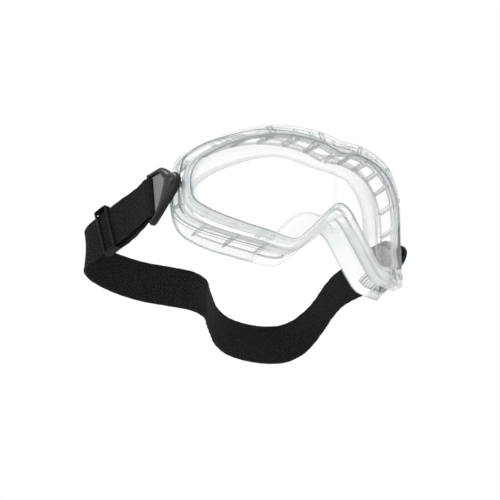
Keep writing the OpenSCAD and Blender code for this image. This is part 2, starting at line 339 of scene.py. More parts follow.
elastic = elasticWeave(
    "elastic",
    {
        "ribPitch": 0.0009,
        "pickPitch": 0.0011,
        "fuzzScale": 1500.0,
        "speckleScale": 1400.0,
        "dark": (0.0015, 0.0015, 0.0017),
        "light": (0.026, 0.026, 0.028),
        "edgeAt": 0.0116,
        "bump": 0.6,
    },
)
glossBlack = mouldedBlack(
    "glossBlack",
    {
        "grainScale": 1200.0,
        "wearScale": 90.0,
        "dark": (0.003, 0.003, 0.0033),
        "worn": (0.014, 0.014, 0.015),
        "roughness": 0.16,
        "roughSpread": 0.08,
        "coat": 0.1,
        "specular": 0.2,
        "bump": 0.05,
    },
)
satinBlack = mouldedBlack(
    "satinBlack",
    {
        "grainScale": 2200.0,
        "wearScale": 120.0,
        "dark": (0.004, 0.004, 0.0045),
        "worn": (0.018, 0.018, 0.019),
        "roughness": 0.35,
        "roughSpread": 0.2,
        "coat": 0.03,
        "specular": 0.1,
        "bump": 0.15,
    },
)
greyPlate = mouldedBlack(
    "greyPlate",
    {
        "grainScale": 1600.0,
        "wearScale": 80.0,
        "dark": (0.13, 0.13, 0.135),
        "worn": (0.2, 0.2, 0.205),
        "roughness": 0.4,
        "roughSpread": 0.2,
        "coat": 0.1,
        "specular": 0.4,
        "bump": 0.12,
    },
)
thread = mouldedBlack(
    "thread",
    {
        "grainScale": 3000.0,
        "wearScale": 400.0,
        "dark": (0.012, 0.012, 0.013),
        "worn": (0.06, 0.06, 0.06),
        "roughness": 0.7,
        "roughSpread": 0.2,
        "coat": 0.0,
        "specular": 0.3,
        "bump": 0.5,
    },
)
print("finishes made")


# shapes
def catmull(p0, p1, p2, p3, t):
    # half of 2p1 + (p2-p0)t + (2p0-5p1+4p2-p3)t^2 + (3p1-p0-3p2+p3)t^3
    return 0.5 * (
        2 * p1
        + (p2 - p0) * t
        + (2 * p0 - 5 * p1 + 4 * p2 - p3) * t**2
        + (3 * p1 - p0 - 3 * p2 + p3) * t**3
    )


def spans(q, count, perSpan):
    # every span of a padded point list at perSpan steps, as one array
    t = (np.arange(perSpan) / perSpan)[None, :, None]
    a, b, c, d = (q[k : k + count][:, None] for k in range(4))
    return catmull(a, b, c, d, t).reshape(-1, q.shape[1])


def mirroredLoop(points, perSpan):
    # a half outline from the top middle to the bottom middle, smoothed, then its mirror image
    p = np.array(points, float)
    flip = np.array([-1, 1])
    half = spans(np.vstack([p[1] * flip, p, p[-2] * flip]), len(p) - 1, perSpan)
    half = np.vstack([half, p[-1]])
    return np.vstack([half, half[-2:0:-1] * flip])


def closedLoop(points, perSpan):
    # a smooth closed curve through the points
    p = np.array(points, float)
    return spans(np.vstack([p[-1], p, p[:2]]), len(p), perSpan)


def openPath(points, perSpan):
    # a smooth open curve through the points, ends included
    p = np.array(points, float)
    return np.vstack([spans(np.vstack([p[0], p, p[-1]]), len(p) - 1, perSpan), p[-1]])


def unit(v):
    # each vector over its own length
    return v / np.linalg.norm(v, axis=-1, keepdims=True)


def roundedProfile(corners, steps=4):
    # each corner becomes a short curve that leaves and joins its sides at the corner's own radius:
    # (1-t)^2 start + 2t(1-t) corner + t^2 end
    c = np.array([q[:2] for q in corners], float)
    r = np.array([q[2] for q in corners], float)[:, None]
    start = c + unit(np.roll(c, 1, 0) - c) * r
    end = c + unit(np.roll(c, -1, 0) - c) * r
    t = np.linspace(0, 1, steps)[None, :, None]
    curve = (1 - t) ** 2 * start[:, None] + 2 * t * (1 - t) * c[:, None] + t**2 * end[:, None]
    return curve.reshape(-1, 2)


def linedProfile(corners, steps=4, fade=0.2):
    # a rounded profile whose corners are [x, y, radius, shade]; the shade holds round a corner and
    # is gone a short way, fade, along the sides next to it
    curve = roundedProfile([c[:3] for c in corners], steps).reshape(-1, steps, 2)
    start = np.roll(curve[:, 0], -1, 0)
    side = start - curve[:, -1]
    length = np.linalg.norm(side, axis=1, keepdims=True)
    near = np.minimum(fade, length / 3)
    after, before = curve[:, -1] + side / length * near, start - side / length * near
    points = np.concatenate([curve, after[:, None], before[:, None]], 1)
    shade = np.zeros(points.shape[:2])
    shade[:, :steps] = np.array([c[3] for c in corners])[:, None]
    return points.reshape(-1, 2), shade.ravel()


def gridShape(grid, wrapRows=True, wrapColumns=True, keep=None, poles=False, shade=None):
    # quads between neighbours of a grid of points; open ends of a tube are closed by one face each,
    # and faces are turned so that the shape's volume comes out positive
    n, m = grid.shape[:2]
    rows = np.arange(n if wrapRows else n - 1)
    cols = np.arange(m if wrapColumns else m - 1)
    i, j = np.meshgrid(rows, cols, indexing="ij")
    a, b = i * m, ((i + 1) % n) * m
    k = (j + 1) % m
    quads = np.stack([a + j, b + j, b + k, a + k], -1)
    quads = quads[keep] if keep is not None else quads.reshape(-1, 4)
    points = grid.reshape(-1, 3)
    shade = np.broadcast_to(0.0 if shade is None else shade, (n, m)).ravel()
    if keep is not None:  # points inside the holes are dropped
        used, quads = np.unique(quads, return_inverse=True)
        points, shade, quads = points[used], shade[used], quads.reshape(-1, 4)
    faces = quads.tolist()
    if keep is None and not wrapRows and wrapColumns:
        faces += [list(range(m - 1, -1, -1)), list(range((n - 1) * m, n * m))]
    if poles:
        faces = [f for f in faces if len(f) == 4]
        points = np.vstack([points, grid[0].mean(0), grid[-1].mean(0)])
        top, end = n * m, n * m + 1
        shade = np.append(shade, [0.0, 0.0])
        faces += [[top, (q + 1) % m, q] for q in range(m)]
        faces += [[end, (n - 1) * m + q, (n - 1) * m + (q + 1) % m] for q in range(m)]
    p = points[quads]
    volume = (np.cross(p[:, 1], p[:, 2]) * p[:, 0]).sum() + (
        np.cross(p[:, 2], p[:, 3]) * p[:, 0]
    ).sum()
    if volume < 0:
        faces = [f[::-1] for f in faces]
    return points, faces, shade


frostReach = {"side": 46, "sideFade": 6, "top": -9, "topFade": 5}  # in mm


def noseFrost(points):
    # (side - |x|) / sideFade times (top - z) / topFade, each held between 0 and 1: full on the
    # nose arch's sides, and gone past its foot and above its top
    s = frostReach
    x, z = np.abs(points[:, 0]) / mm, points[:, 2] / mm
    side = np.clip((s["side"] - x) / s["sideFade"], 0, 1)
    return side * np.clip((s["top"] - z) / s["topFade"], 0, 1)


def makePiece(name, shapes, finish, body, nodes=(), modifiers=(), uv=None, smooth=40,
              frost=0.0):
    # joins the shapes in one mesh, in metres, gives it its finish, ties it to its body and hides
    # its CAD nodes
    points, faces, base = [], [], 0
    for shapePoints, shapeFaces, _ in shapes:
        points.append(shapePoints)
        faces += [[base + v for v in f] for f in shapeFaces]
        base += len(shapePoints)
    mesh = bpy.data.meshes.new(name)
    mesh.from_pydata(np.vstack(points).tolist(), [], faces)
    if uv is not None:
        layer = mesh.uv_layers.new(name="clothMap")
        corner = np.empty(len(mesh.loops), int)
        mesh.loops.foreach_get("vertex_index", corner)
        layer.data.foreach_set("uv", uv[corner].ravel())
    mesh.validate()
    painted = {"edgeShade": np.concatenate([shape[2] for shape in shapes]),
               "frost": noseFrost(np.vstack(points)) * frost}
    for word, values in painted.items():
        if values.any():
            mesh.attributes.new(word, "FLOAT", "POINT").data.foreach_set("value", values)
    mesh.materials.append(finish)
    piece = bpy.data.objects.new(name, mesh)
    bpy.context.scene.collection.objects.link(piece)
    for kind, settings in modifiers:
        modifier = piece.modifiers.new(kind.title(), kind)
        for key, value in settings.items():
            setattr(modifier, key, value)
    mesh.shade_smooth()
    if smooth:
        mesh.set_sharp_from_angle(angle=math.radians(smooth))
    if body:  # a piece given no body stays untied
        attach(piece, body)
    if nodes:
        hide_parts(*nodes)
    print("piece", name, len(faces), "faces")
    return piece


# outlines of the front, as X and Z in mm from the top middle to the nose arch
outerPoints = [[0, 37], [14, 38.5], [30, 38.5], [46, 37], [60, 32.5], [73, 26], [80.6, 19],
               [82.8, 9], [83, -3], [82, -15], [76, -24], [64, -31], [50, -35.5], [37, -38.5],
               [29, -37], [20, -29.5], [12, -21], [5, -13.5], [0, -11]]
windowPoints = [[0, 29], [12, 31.5], [27, 32.5], [42, 31.5], [55, 28], [67, 21.5], [75, 15],
                [78, 7], [78, -2], [76, -9.5], [68, -17], [56, -23.5], [44, -27.5], [34, -30.5],
                [28, -29], [19.5, -20.5], [12, -12], [5.5, -4.8], [0, -2.5]]
flangePoints = [[0, 36], [14, 38], [30, 39], [46, 38.5], [60, 34.5], [69.5, 28], [74.8, 20],
                [77, 9], [77.5, -3], [76.5, -15], [72.5, -25], [62.5, -33], [50, -37.5],
                [38, -40], [29, -39.5], [20, -32.5], [12, -24], [5, -16.5], [0, -14]]
openingPoints = [[0, 29], [12, 29.5], [24, 29], [36, 26.5], [47, 22], [56, 17], [62, 11],
                 [65, 4], [65, -3], [63, -9], [56, -16], [48, -20.5], [41, -23.5], [35, -24.5],
                 [31, -22.5], [25, -16], [18, -8.5], [9, -2], [0, 0]]
front = {
    "bodyDepth": 26.0,
    "bend": 4.7e-3,  # mm of sweep per mm squared from the middle
    "wrap": 0.23e-6,  # and per mm to the fourth
    "faceBend": 0.5e-3,
    "faceWrap": 1.45e-6,
    "band": 8.7,  # width of the frame's band
    "stations": 432,
    "wallEnd": 21.9,
    "steps": 432,  # places along the frame count in this many even steps from the top middle
}
perSpan = 24
denseLoops = [mirroredLoop(p, perSpan) for p in
              (windowPoints, outerPoints, flangePoints, openingPoints)]


def evenStations(count):
    # places along the loops, as fractions of their point count, evenly spaced along the frame
    middle = denseLoops[0] * 0.5 + denseLoops[1] * 0.5
    step = np.linalg.norm(np.roll(middle, -1, 0) - middle, axis=1)
    travel = np.concatenate([[0], np.cumsum(step)])
    return np.interp(np.arange(count) / count * travel[-1], travel, np.arange(len(travel)))


def loopAt(loop, place):
    # the loop's point at a fractional index, any array shape, wrapping round
    n = len(loop)
    low = np.floor(place).astype(int)
    t = (place - low)[..., None]
    return loop[low % n] * (1 - t) + loop[(low + 1) % n] * t


def sweep(x):
    # bend x^2 + wrap x^4, how far the front falls back at x
    return front["bend"] * x**2 + front["wrap"] * x**4


def bandPoint(place, s, depth):
    # window edge at s = 0, outer edge at s = 1, and depth behind the swept front
    s = np.asarray(s, float)[..., None]
    xz = loopAt(denseLoops[0], place) * (1 - s) + loopAt(denseLoops[1], place) * s
    y = sweep(xz[..., 0]) + depth - front["bodyDepth"]
    return np.stack([xz[..., 0], y, xz[..., 1]], -1) * mm


def stepPlace(count):
    # the loop place that many even steps from the top middle, mirrored for a negative count
    n = front["steps"]
    return np.interp(np.asarray(count, float) % n, np.arange(n + 1),
                     np.append(evenStations(n), len(denseLoops[0])))


def tubeAlong(line, radius, count=8, shade=0.0):
    # a round rod along a line of points, thinner at both ends so that it closes softly
    t = unit(np.gradient(line, axis=0))
    side = unit(np.cross(t, np.array([0.3, 0.2, 1.0])))
    up = np.cross(side, t)
    k = np.linspace(-1, 1, len(line))
    r = radius * np.sqrt(np.clip(1 - np.abs(k) ** 12, 0.02, 1))
    a = np.arange(count) / count * 2 * np.pi
    ring = np.cos(a)[None, :, None] * side[:, None] + np.sin(a)[None, :, None] * up[:, None]
    return gridShape(line[:, None] + ring * r[:, None, None], wrapRows=False, shade=shade)


stations = evenStations(front["stations"])

# pivot and clip frame
pivot = {"y": 20.5, "z": 2.5, "droop": 7.0, "clipX": 83.6}  # mm, and degrees of droop


def turned(side, profile, count=40):
    # a profile of [x, radius] carried round the pivot's left-to-right axis
    p = np.array(profile, float)
    a = np.arange(count) / count * 2 * np.pi
    x = side * np.broadcast_to(p[:, 0], (count, len(p)))
    y = pivot["y"] + np.cos(a)[:, None] * p[:, 1]
    z = pivot["z"] + np.sin(a)[:, None] * p[:, 1]
    return np.stack([x, y, z], -1) * mm


# front frame
frameLook = {
    # a across the band from the window, depth, corner radius, all in mm, and edge shade
    "profile": [[0, 2.4, 0.2, 1], [0, 1.9, 0.1, 1], [0, 1.4, 0.1, 1], [0, 0.9, 0.3, 1],
                [0.9, 0.15, 0.4, 0.25], [2.1, 0, 0.3, 0], [2.5, 0.1, 0.15, 0.3],
                [2.9, 0.1, 0.15, 0.3], [5.0, 0.1, 0.15, 0], [5.4, 0.1, 0.15, 0.15],
                [5.8, 0, 0.2, 0], [7.5, 0, 0.6, 0], [8.7, 1.4, 0.8, 0.3],
                [8.7, 8.6, 0.2, 0.6], [8.6, 9, 0.2, 1], [7.1, 9, 0.3, 0.8],
                [6.9, 8.4, 0.2, 0.4], [6.9, 2.6, 0.4, 0.3]],
    "channelFrom": 2.7,
    "channelTo": 5.2,
    "channelDeep": 0.9,
    "postXs": [6, 21, 31, 42, 51, 62, 70],  # small posts in the channel, upper band
    "lowPostXs": [44, 62, 74],
    "postWide": 1.3,
    "postSize": (2.6, 5.3, 0.15, 1.2),  # across from and to, depth from and to
    "ribSteps": (84, 119),  # the rib beside each lug, in even steps from the top middle
    "ribAt": (0.95, 1.1),  # place across the band, and depth
    "ribRadius": 0.55,
    "archFrom": 36,  # the channel's floor is level inside this x, and sunk archFade further out
    "archFade": 10,
    # x and radius of the lug's plate round the pivot
    "lug": [[80.5, 2.6], [80.5, 4.1], [80.8, 4.4], [82.9, 4.4], [83.2, 4.1], [83.2, 2.6]],
}


def topStation(x, top=True):
    # the even station whose window and outer edges, half way between them, stand at x
    middle = bandPoint(stations, 0.5, 0.0) / mm
    ok = (middle[:, 2] > -3) if top else (middle[:, 2] < -3)
    gap = np.where(ok, np.abs(middle[:, 0] - x), 1e3)
    return stations[int(np.argmin(gap))]


def blockOnBand(place, halfWide, aFrom, aTo, dFrom, dTo):
    # a small rounded block across the band, halfWide loop steps each way
    prof, shade = linedProfile([[aFrom, dFrom, 0.2, 0.5], [aTo, dFrom, 0.2, 0.5],
                                [aTo, dTo, 0.2, 0.2], [aFrom, dTo, 0.2, 0.2]], 3)
    along = place + np.linspace(-1, 1, 5) * halfWide
    grid = bandPoint(along[:, None] + 0 * prof[None, :, 0],
                     np.broadcast_to(prof[:, 0] / front["band"], (5, len(prof))), prof[None, :, 1])
    return gridShape(grid, wrapRows=False, shade=shade)


def makeFrontFrame(s):
    # the profile carried round the band; the channel's floor sinks except along the nose arch
    p, shade = linedProfile(s["profile"])
    place = stations[:, None] + 0 * p[None, :, 0]
    across = np.broadcast_to(p[:, 0] / front["band"], place.shape)
    middle = bandPoint(stations, 0.5, 0.0) / mm
    away = np.clip((np.abs(middle[:, 0]) - s["archFrom"]) / s["archFade"], 0, 1)
    share = np.where(middle[:, 2] > 0, 1.0, away)[:, None]
    inside = (p[:, 0] > s["channelFrom"]) & (p[:, 0] < s["channelTo"]) & (p[:, 1] < 0.5)
    depth = p[None, :, 1] + inside[None, :] * share * s["channelDeep"]
    shapes = [gridShape(bandPoint(place, across, depth), shade=shade)]
    for xs, top in ((s["postXs"], True), (s["lowPostXs"], False)):
        for x in xs:
            for side in (-1, 1):
                spot = topStation(side * x, top)
                shapes.append(blockOnBand(spot, s["postWide"], *s["postSize"]))
    for side in (-1, 1):
        ribLine = bandPoint(stepPlace(side * np.linspace(*s["ribSteps"], 24)), *s["ribAt"])
        shapes.append(tubeAlong(ribLine, s["ribRadius"] * mm, 8, 1.0))
    for side in (-1, 1):
        shapes.append(gridShape(turned(side, s["lug"])))
    return makePiece("frontFrame", shapes, clearFrame, goggles, ["front_frame"],
                     frost=0.35)


makeFrontFrame(frameLook)


hookLook = {
    "places": [(14, True), (44, True), (66, True), (50, False)],  # x, and whether on the top
    "bars": [(-1.9, 0.5, 1.0), (1.9, 0.5, 1.0), (0, 2.2, 5.6)],  # shift, half width, across from
    "acrossTo": 6.6,
    "depths": (-0.35, 0.9),
}


def makeSnapHooks(s):
    # small C shaped catches that stand on the band, two bars and a bridge each
    shapes = []
    for x, top in s["places"]:
        for side in (-1, 1):
            at = topStation(side * x, top)
            for shift, wide, start in s["bars"]:
                shapes.append(blockOnBand(at + shift, wide, start, s["acrossTo"], *s["depths"]))
    return makePiece("snapHooks", shapes, clearFrame, goggles, ["bezel_snap_tabs"])


makeSnapHooks(hookLook)


# lens and gasket
lensLook = {"depth": 3.3, "thick": 2.2, "edgeAt": 0.36, "rings": 14, "middleZ": 12.0}


def makeLens(s):
    # rings shrink from the edge to one middle point, each on the swept front's own curve
    share = 1 - np.linspace(0, 0.985, s["rings"])
    edge = loopAt(denseLoops[0], stations) * (1 - s["edgeAt"]) + (
        loopAt(denseLoops[1], stations) * s["edgeAt"]
    )
    middle = np.array([0, s["middleZ"]])
    xz = middle + (edge - middle)[None] * share[:, None, None]
    shell = []
    near, far = s["depth"], s["depth"] + s["thick"]
    for depth, order in ((near, slice(None, None, -1)), (far, slice(None))):
        y = sweep(xz[..., 0]) + depth - front["bodyDepth"]
        shell.append(np.stack([xz[..., 0], y, xz[..., 1]], -1)[order])
    rim = shell[0][-1] * 0.5 + shell[1][0] * 0.5
    out = np.concatenate([edge - middle, edge[:, :1] * 0], 1)[:, [0, 2, 1]]
    rim = rim + unit(out) * 0.5
    grid = np.concatenate([shell[0], rim[None], shell[1]]) * mm
    shade = np.zeros(len(grid))
    shade[len(shell[0]) - 1 : len(shell[0]) + 2] = 1
    piece = gridShape(grid, wrapRows=False, poles=True, shade=shade[:, None])
    return makePiece("lensShield", [piece], clearLens, goggles, ["lens"])


makeLens(lensLook)


gasketLook = {  # across the band, depth, corner radius and edge shade
    "profile": [[0.6, 2.5, 0.1, 0.8], [3.6, 2.5, 0.1, 0], [3.6, 3.2, 0.1, 0],
                [2.6, 3.0, 0.1, 0], [0.6, 3.2, 0.1, 0.8]],
}


def makeGasket(s):
    # the profile, a bead with a lip on each side, carried round between the frame and the lens
    p, shade = linedProfile(s["profile"], 3)
    place = stations[:, None] + 0 * p[None, :, 0]
    grid = bandPoint(place, np.broadcast_to(p[:, 0] / front["band"], place.shape), p[None, :, 1])
    return makePiece("lensBead", [gridShape(grid, shade=shade)], clearSoft, goggles,
                     ["lens_gasket"])


makeGasket(gasketLook)

# vented body
bodyLook = {
    "columns": 648,
    "rows": 30,
    "depthFrom": 5.2,
    "wallAt": (0.14, 0.66),  # place across the frame's band, at the top and at the bottom
    "flareFrom": (0.78, 0.3),  # share of the wall's depth where it starts to flare out, likewise
    "lean": 4.0,  # loop steps that a top vent's slanted side moves from front to back
    "lowAt": (4.0, -16.0),  # heights between which the top changes to the bottom
    "windows": [7, 21, 36, 50.5, 64.5, 79, 93.5, 107],
    "lowWindows": [138.5, 154, 169.5],
    "windowHalf": 5.6,  # half a window's length along the wall, in steps
    "lowHalf": 6.6,
    "windowShare": (0.14, 0.76),  # where a window starts and ends over the wall's depth
    "lowWindowShare": (0.2, 0.7),
    "blades": [14, 28.5, 43.5, 57.5, 72, 86.5, 100.5, 114],
    "lowBlades": [130.5, 146.3, 161.8, 177.5],
    "thick": 1.5,
}


def lowShare(place):
    # 0 on the upper part of the frame and 1 on the lower, smooth between
    z = loopAt(denseLoops[0], place)[..., 1]
    high, low = bodyLook["lowAt"]
    t = np.clip((high - z) / (high - low), 0, 1)
    return t * t * (3 - 2 * t)


def wallPoint(place, share):
    # share 0 at the frame and 1 at the flange; past flareFrom the wall blends into the flange edge
    s, low = bodyLook, lowShare(place)
    at, flare = (s[key][0] * (1 - low) + s[key][1] * low for key in ("wallAt", "flareFrom"))
    depth = s["depthFrom"] + share * (front["wallEnd"] - s["depthFrom"])
    xz = loopAt(denseLoops[0], place) * (1 - at[..., None])
    xz = xz + loopAt(denseLoops[1], place) * at[..., None]
    t = np.clip((share - flare) / (1 - flare), 0, 1)[..., None] ** 1.6
    xz = xz * (1 - t) + loopAt(denseLoops[2], place) * t
    y = sweep(xz[..., 0]) + depth - front["bodyDepth"]
    return np.stack([xz[..., 0], y, xz[..., 1]], -1) * mm


def slanted(place, share):
    # the slant is mirrored about the middle plane, and dies away at it and on the lower part
    n = len(denseLoops[0])
    lean = np.tanh(4 * np.sin(place / n * 2 * np.pi)) * bodyLook["lean"] * (1 - lowShare(place))
    return place + lean * (share - 0.5)


def makeBody(s):
    # a sheet on a slanted grid with the window cells left out, then given its thickness; the
    # edges of the windows and of the sheet are shaded
    n = s["columns"]
    share = np.linspace(0, 1, s["rows"])[None, :]
    even = evenStations(n)[:, None]
    grid = wallPoint(slanted(even + 0 * share, share), share + 0 * even)
    steps = (np.arange(n) + 0.5) * front["steps"] / n
    steps = np.minimum(steps, front["steps"] - steps)
    rows = (share[0, 1:] + share[0, :-1]) / 2
    holes = np.zeros((n, s["rows"] - 1), bool)
    for centres, half, (first, last) in ((s["windows"], s["windowHalf"], s["windowShare"]),
                                         (s["lowWindows"], s["lowHalf"], s["lowWindowShare"])):
        near = np.abs(steps[:, None] - np.array(centres)).min(1) < half
        holes |= near[:, None] & ((rows > first) & (rows < last))[None, :]
    beside = np.pad(holes, ((1, 0), (1, 1)), mode="constant")
    beside[0] = beside[-1]
    shade = (beside[1:, 1:] | beside[1:, :-1] | beside[:-1, 1:] | beside[:-1, :-1]) * 1.0
    shade[:, [0, -1]] = 0.8
    shape = gridShape(grid, wrapColumns=False, keep=~holes, shade=shade)
    finish = [("SOLIDIFY", {"thickness": s["thick"] * mm, "offset": 0.0})]
    return makePiece("ventedBody", [shape], clearBody, goggles, ["vent_body"],
                     finish, frost=0.9)


makeBody(bodyLook)


bladeLook = {"from": 0.02, "to": 0.8, "inside": 0.8, "outside": 3.6, "thick": 0.8, "foot": 0.8}


def bladeAt(s, count):
    # a thin plate between two windows, outside * (1 - share of its length) proud of the wall's
    # outer face and a little proud of the inner one, with a small round foot at its rear end
    share = np.linspace(s["from"], s["to"], 14)
    line = wallPoint(slanted(stepPlace(count) + 0 * share, share), share)
    outward = unit((line - np.array([0, 0, 0.004])) * [1, 0, 1])
    sideways = unit(np.cross(unit(np.gradient(line, axis=0)), outward))
    w = s["thick"] / 2
    p, shade = linedProfile([[-w, 0, 0.2, 1], [-w, 1, 0.1, 0.8], [w, 1, 0.1, 0.8],
                             [w, 0, 0.2, 1]], 3)
    room = (1 - (share - s["from"]) / (s["to"] - s["from"]))[:, None] * s["outside"]
    room = np.minimum(room, 0.6 + 40 * (share - s["from"])[:, None])
    tall = -s["inside"] + p[None, :, 1] * (s["inside"] + 0.5 + room * (1 - lowShare(
        np.full((1, 1), stepPlace(count)))))
    grid = line[:, None] + outward[:, None] * tall[..., None] * mm
    grid = grid + sideways[:, None] * p[None, :, :1] * mm
    foot = line[-4:] - outward[-4:] * 0.5 * mm
    return [gridShape(grid, wrapRows=False, shade=shade),
            tubeAlong(foot, s["foot"] * mm, 10, 0.8)]


def makeLouvres(name, node, counts):
    # one blade for each count of even steps from the top middle, minus for the left side
    shapes = sum((bladeAt(bladeLook, c) for c in counts), [])
    return makePiece(name, shapes, clearBody, goggles, [node], frost=0.9)


upper, lower = np.array(bodyLook["blades"]), np.array(bodyLook["lowBlades"])
rightTip = [164, 166.2, 168.4, 170.6, 172.8, 175]  # close ribs at the foot of the nose arch
makeLouvres("topLouvres", "top_vent_baffle", [*upper, *-upper])
makeLouvres("rightLouvres", "right_vent_baffle", [*lower, *rightTip])
makeLouvres("leftLouvres", "left_vent_baffle", -lower)

# face seal
sealLook = {"across": 14, "thick": 1.8, "midShare": 0.4, "wallIn": 0.46}


def makeSeal(s):
    # o (1-t)(1-2t) + m 4t(1-t) + q t(2t-1) from the flange to the opening, and back at
    # thickness sqrt(1 - (2t-1)^6) behind it, so that both edges are round
    o, q = loopAt(denseLoops[2], stations), loopAt(denseLoops[3], stations)
    w = loopAt(denseLoops[0], stations) * (1 - s["wallIn"])
    w = w + loopAt(denseLoops[1], stations) * s["wallIn"]
    m = w * (1 - s["midShare"]) + q * s["midShare"]
    rear = front["wallEnd"] - front["bodyDepth"]
    ym = sweep(m[:, 0]) + rear
    face = front["faceBend"] * q[:, 0] ** 2 + front["faceWrap"] * q[:, 0] ** 4
    o3 = np.stack([o[:, 0], sweep(o[:, 0]) + rear, o[:, 1]], -1)
    m3 = np.stack([m[:, 0], ym, m[:, 1]], -1)
    q3 = np.stack([q[:, 0], np.maximum(face, ym + 1), q[:, 1]], -1)
    t = (1 - np.cos(np.linspace(0, np.pi, s["across"]))) / 2
    k = t[None, :, None]
    sheet = o3[:, None] * (1 - k) * (1 - 2 * k) + m3[:, None] * 4 * k * (1 - k)
    sheet = sheet + q3[:, None] * k * (2 * k - 1)
    half = s["thick"] / 2 * np.sqrt(np.clip(1 - (2 * t - 1) ** 6, 0, 1))
    lift = np.stack([0 * half, half, 0 * half], -1)[None]
    centre = sheet + [0, s["thick"] / 2, 0]
    grid = np.concatenate([centre - lift, (centre + lift)[:, -2:0:-1]], 1) * mm
    shade = np.zeros(grid.shape[1])
    shade[[0, 1, -1]] = 0.5
    shade[s["across"] - 4 : s["across"] + 3] = 0.4
    shade[s["across"] - 2 : s["across"] + 1] = 0.9
    return makePiece("faceSeal", [gridShape(grid, shade=shade)], clearSoft, goggles,
                     ["face_seal"], frost=0.06)


makeSeal(sealLook)
print("front made")

# strap clips
clipLook = {
    # outer and inner edges point for point, as Y behind the pivot and Z above it, in mm
    "outer": [[0, 6], [4.5, 10.8], [9, 14.2], [14.5, 15.2], [20, 15.6], [23.3, 14.8],
              [23.5, 0.5], [23.3, -13.6], [20.6, -17.3], [15, -15.2], [6, -10.4], [-2.0, -6.2],
              [-5.6, -2.2], [-6, 1], [-4, 4.5]],
    "inner": [[6.9, 6.3], [8.6, 8.6], [11, 11.7], [14, 12.5], [17.5, 12.8], [20.7, 12.9],
              [21, 0], [20.7, -12.8], [18.4, -12.9], [16.2, -11.6], [12.6, -7.2], [9.2, -1.2],
              [7.8, 1.6], [7.2, 3.4], [6.9, 4.9]],
    "thick": 3.2,
    "barThick": 0.31,
    "round": 0.2,
}


def clipPlace(side, x, yz):
    # local Y and Z drooped about the pivot, at x mm from the middle plane
    a = math.radians(-pivot["droop"])
    y = yz[..., 0] * math.cos(a) - yz[..., 1] * math.sin(a) + pivot["y"]
    z = yz[..., 0] * math.sin(a) + yz[..., 1] * math.cos(a) + pivot["z"]
    return np.stack([side * (x + 0 * y), y, z], -1) * mm


def makeClip(side, name, node):
    # a rounded section carried between the inner and outer edges, crowned on its outer face
    s = clipLook
    outer, inner = closedLoop(s["outer"], 6), closedLoop(s["inner"], 6)
    r = s["round"]
    p = roundedProfile([[0, 0, r], [0, 1, r], [0.5, 1.0, 0.1], [1, 0.86, r], [1, 0, r]], 4)
    yz = inner[:, None] * (1 - p[None, :, :1]) + outer[:, None] * p[None, :, :1]
    bar = (outer[:, 0] > 22.6) & (np.abs(outer[:, 1] + 0.2) < 12.7)
    share = np.where(bar, s["barThick"], 1.0)
    share = (share + np.roll(share, 1) + np.roll(share, -1)) / 3
    share = np.where(bar, s["barThick"], share)[:, None]
    x = pivot["clipX"] + s["thick"] * (0.5 + (p[None, :, 1] - 0.5) * share)
    grid = clipPlace(side, x, yz)
    return makePiece(name, [gridShape(grid)], glossBlack, strapBody, [node])


def makePlate(side, name, node):
    # rings that shrink to the middle of the plate, its edge rounded over
    edge = np.array([[6.6, 6.2], [8.6, 8.8], [11, 11.9], [13.6, 12.5], [18.0, 12.9], [18.2, 12.3],
                     [17.9, 0], [17.6, -12.4], [17.2, -12.9], [15.4, -12.7], [11, -9.4],
                     [7.1, -3.6], [6.4, -1.6], [6.3, 1]])
    loop = closedLoop(edge, 5)
    middle = loop.mean(0)
    share = np.array([0.05, 0.5, 0.85, 0.95, 1.0, 1.0, 0.95, 0.5, 0.05])
    lift = np.array([1.75, 1.75, 1.7, 1.6, 1.2, 0.3, 0.1, 0.1, 0.1])
    yz = middle + (loop - middle)[None] * share[:, None, None]
    grid = clipPlace(side, pivot["clipX"] + 0.4 + lift[:, None] + 0 * yz[..., 0], yz)
    shape = gridShape(grid, wrapRows=False, poles=True)
    return makePiece(name, [shape], greyPlate, strapBody, [node])


# x and radius of a pivot pin, from its inner end to its flat outer one
axle = [[80.7, 0.02], [80.7, 2.4], [83.2, 2.4], [83.25, 3.3], [83.5, 3.4], [83.5, 2.4],
        [86.4, 2.4], [86.6, 2.45], [86.75, 2.3], [86.85, 1.7], [86.9, 1.0], [86.95, 0.5],
        [86.95, 0.02]]
for side, word in ((-1, "left"), (1, "right")):
    makeClip(side, word + "StrapClip", word + "_clip")
    makePlate(side, word + "ClipPlate", word + "_clip_plate")
    makePiece(word + "PivotPin", [gridShape(turned(side, axle))], glossBlack,
              goggles, [word + "_pivot_pin"])
print("clips made")

# elastic
strapLook = {"width": 25.0, "thick": 1.5, "cord": 0.14, "ripple": 0.12, "ripplePitch": 7.0}
runMid, runEnd = np.array([-86.2, 59.5, -2.2]), np.array([-92.3, 88.5, -11.8])
strapPath = [[-83.8, 39.8, 0.1], [-86.1, 39.9, 0.1], [-87.6, 43.5, -0.3], [-86.7, 50.5, -1.2],
             runMid, runMid * 0.6 + runEnd * 0.4, runEnd, [-91.7, 96.5, -15],
             [-86, 101, -17.5], [-76.5, 102.5, -19.7], [-64.5, 101.5, -22], [-51, 97, -24.5],
             [-37.5, 89, -26.7], [-25, 83.5, -28.3], [-13, 87, -29], [-4, 96, -29.5],
             [6, 106, -30], [17, 116, -31], [30, 123, -32], [43, 126, -32], [57, 127, -31],
             [69, 127, -29], [79, 126, -26], [85.5, 120, -22], [88.2, 111, -17],
             [88.2, 101, -12], [87.2, 91, -6.5], [86.6, 81, -2.2], [86.4, 70, -0.4],
             [86.4, 58.5, 0], [86.8, 50, 0], [87.6, 43.5, -0.2], [86.1, 39.9, 0.1],
             [83.8, 39.8, 0.1]]
